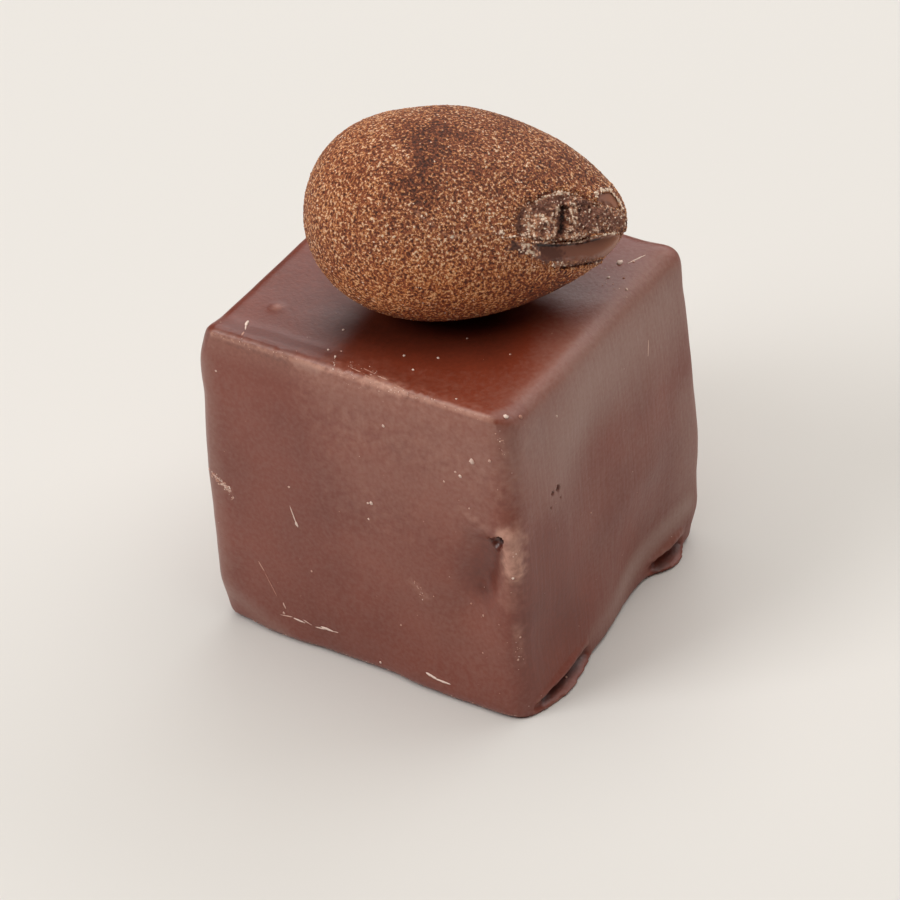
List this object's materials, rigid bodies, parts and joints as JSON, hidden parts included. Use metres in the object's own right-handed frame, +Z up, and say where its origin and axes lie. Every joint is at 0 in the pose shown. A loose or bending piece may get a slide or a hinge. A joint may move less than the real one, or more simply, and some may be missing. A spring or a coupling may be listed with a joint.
{
  "type": "chocolate bonbon",
  "caption": "Square milk chocolate enrobed bonbon with a cocoa-dusted, chocolate-coated almond resting on top, its coating chipped near the tip.",
  "frame": {"origin": "middle of the block's flat underside, on the surface that it rests on", "axes": "+Z up, through the block to the almond; -Y out of the broad front; +X out of the side with the thumb hollow, which the almond's tip points over"},
  "size_m": [0.0275, 0.0256, 0.0397],
  "materials": {
    "milk_chocolate": "satin milk chocolate, enrobed",
    "cocoa_dusted_chocolate": "matt chocolate coating under cocoa and gold-brown dust"
  },
  "bodies": {
    "root": {"enrobed_block": "milk_chocolate", "coated_almond": "cocoa_dusted_chocolate"}
  },
  "joints": []
}
